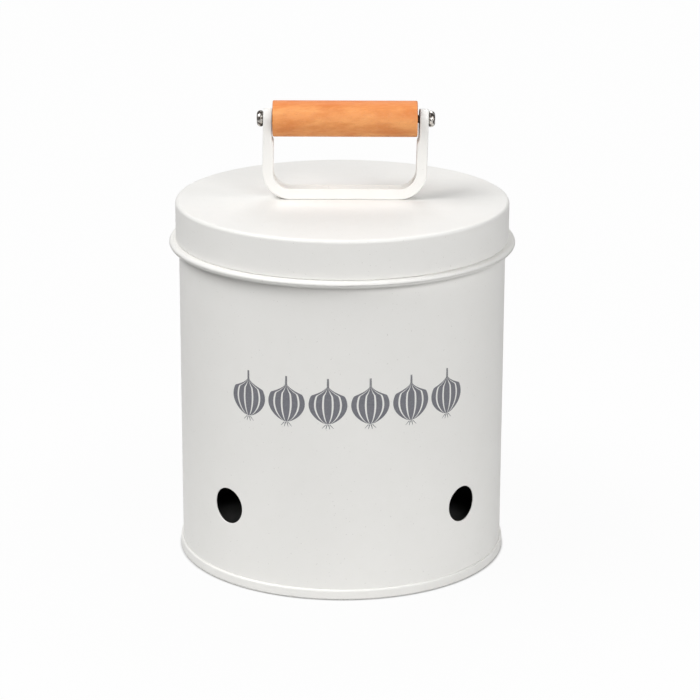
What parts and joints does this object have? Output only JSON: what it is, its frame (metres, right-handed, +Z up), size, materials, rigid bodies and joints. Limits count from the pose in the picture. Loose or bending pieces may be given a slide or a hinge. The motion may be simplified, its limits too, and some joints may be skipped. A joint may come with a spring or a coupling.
{
  "type": "onion storage tin",
  "caption": "Round white sheet-steel storage tin with air vents, a beaded body, a slip-on lid and a turning wooden grip held in a channel bracket on the lid.",
  "frame": {"origin": "on the table under the centre of the tin, at the middle of the base seam's underside", "axes": "+Z up along the tin's axis, +X along the wooden grip towards its right end, -Y towards the viewer of the front"},
  "size_m": [0.172, 0.172, 0.23],
  "materials": {
    "white_coat": "satin white powder coat on sheet steel",
    "grip_wood": "orange-brown turned hardwood, oiled",
    "plated_screw": "bright nickel-plated steel"
  },
  "bodies": {
    "tin": {"body_shell": "white_coat", "base_disc": "white_coat"},
    "lid": {"lid_cap": "white_coat", "handle_bracket": "white_coat", "bracket_rivet_left": "white_coat", "bracket_rivet_right": "white_coat"},
    "grip": {"wood_grip": "grip_wood", "grip_screw_left": "plated_screw", "grip_screw_right": "plated_screw"}
  },
  "joints": [
    {"name": "lid_lift", "type": "slide", "parent": "tin", "child": "lid", "axis": [0, 0, 1], "range_m": [0, 0.12]},
    {"name": "grip_spin", "type": "hinge", "parent": "lid", "child": "grip", "pos_m": [0.0015, 0, 0.2211], "axis": [1, 0, 0], "continuous": true}
  ]
}
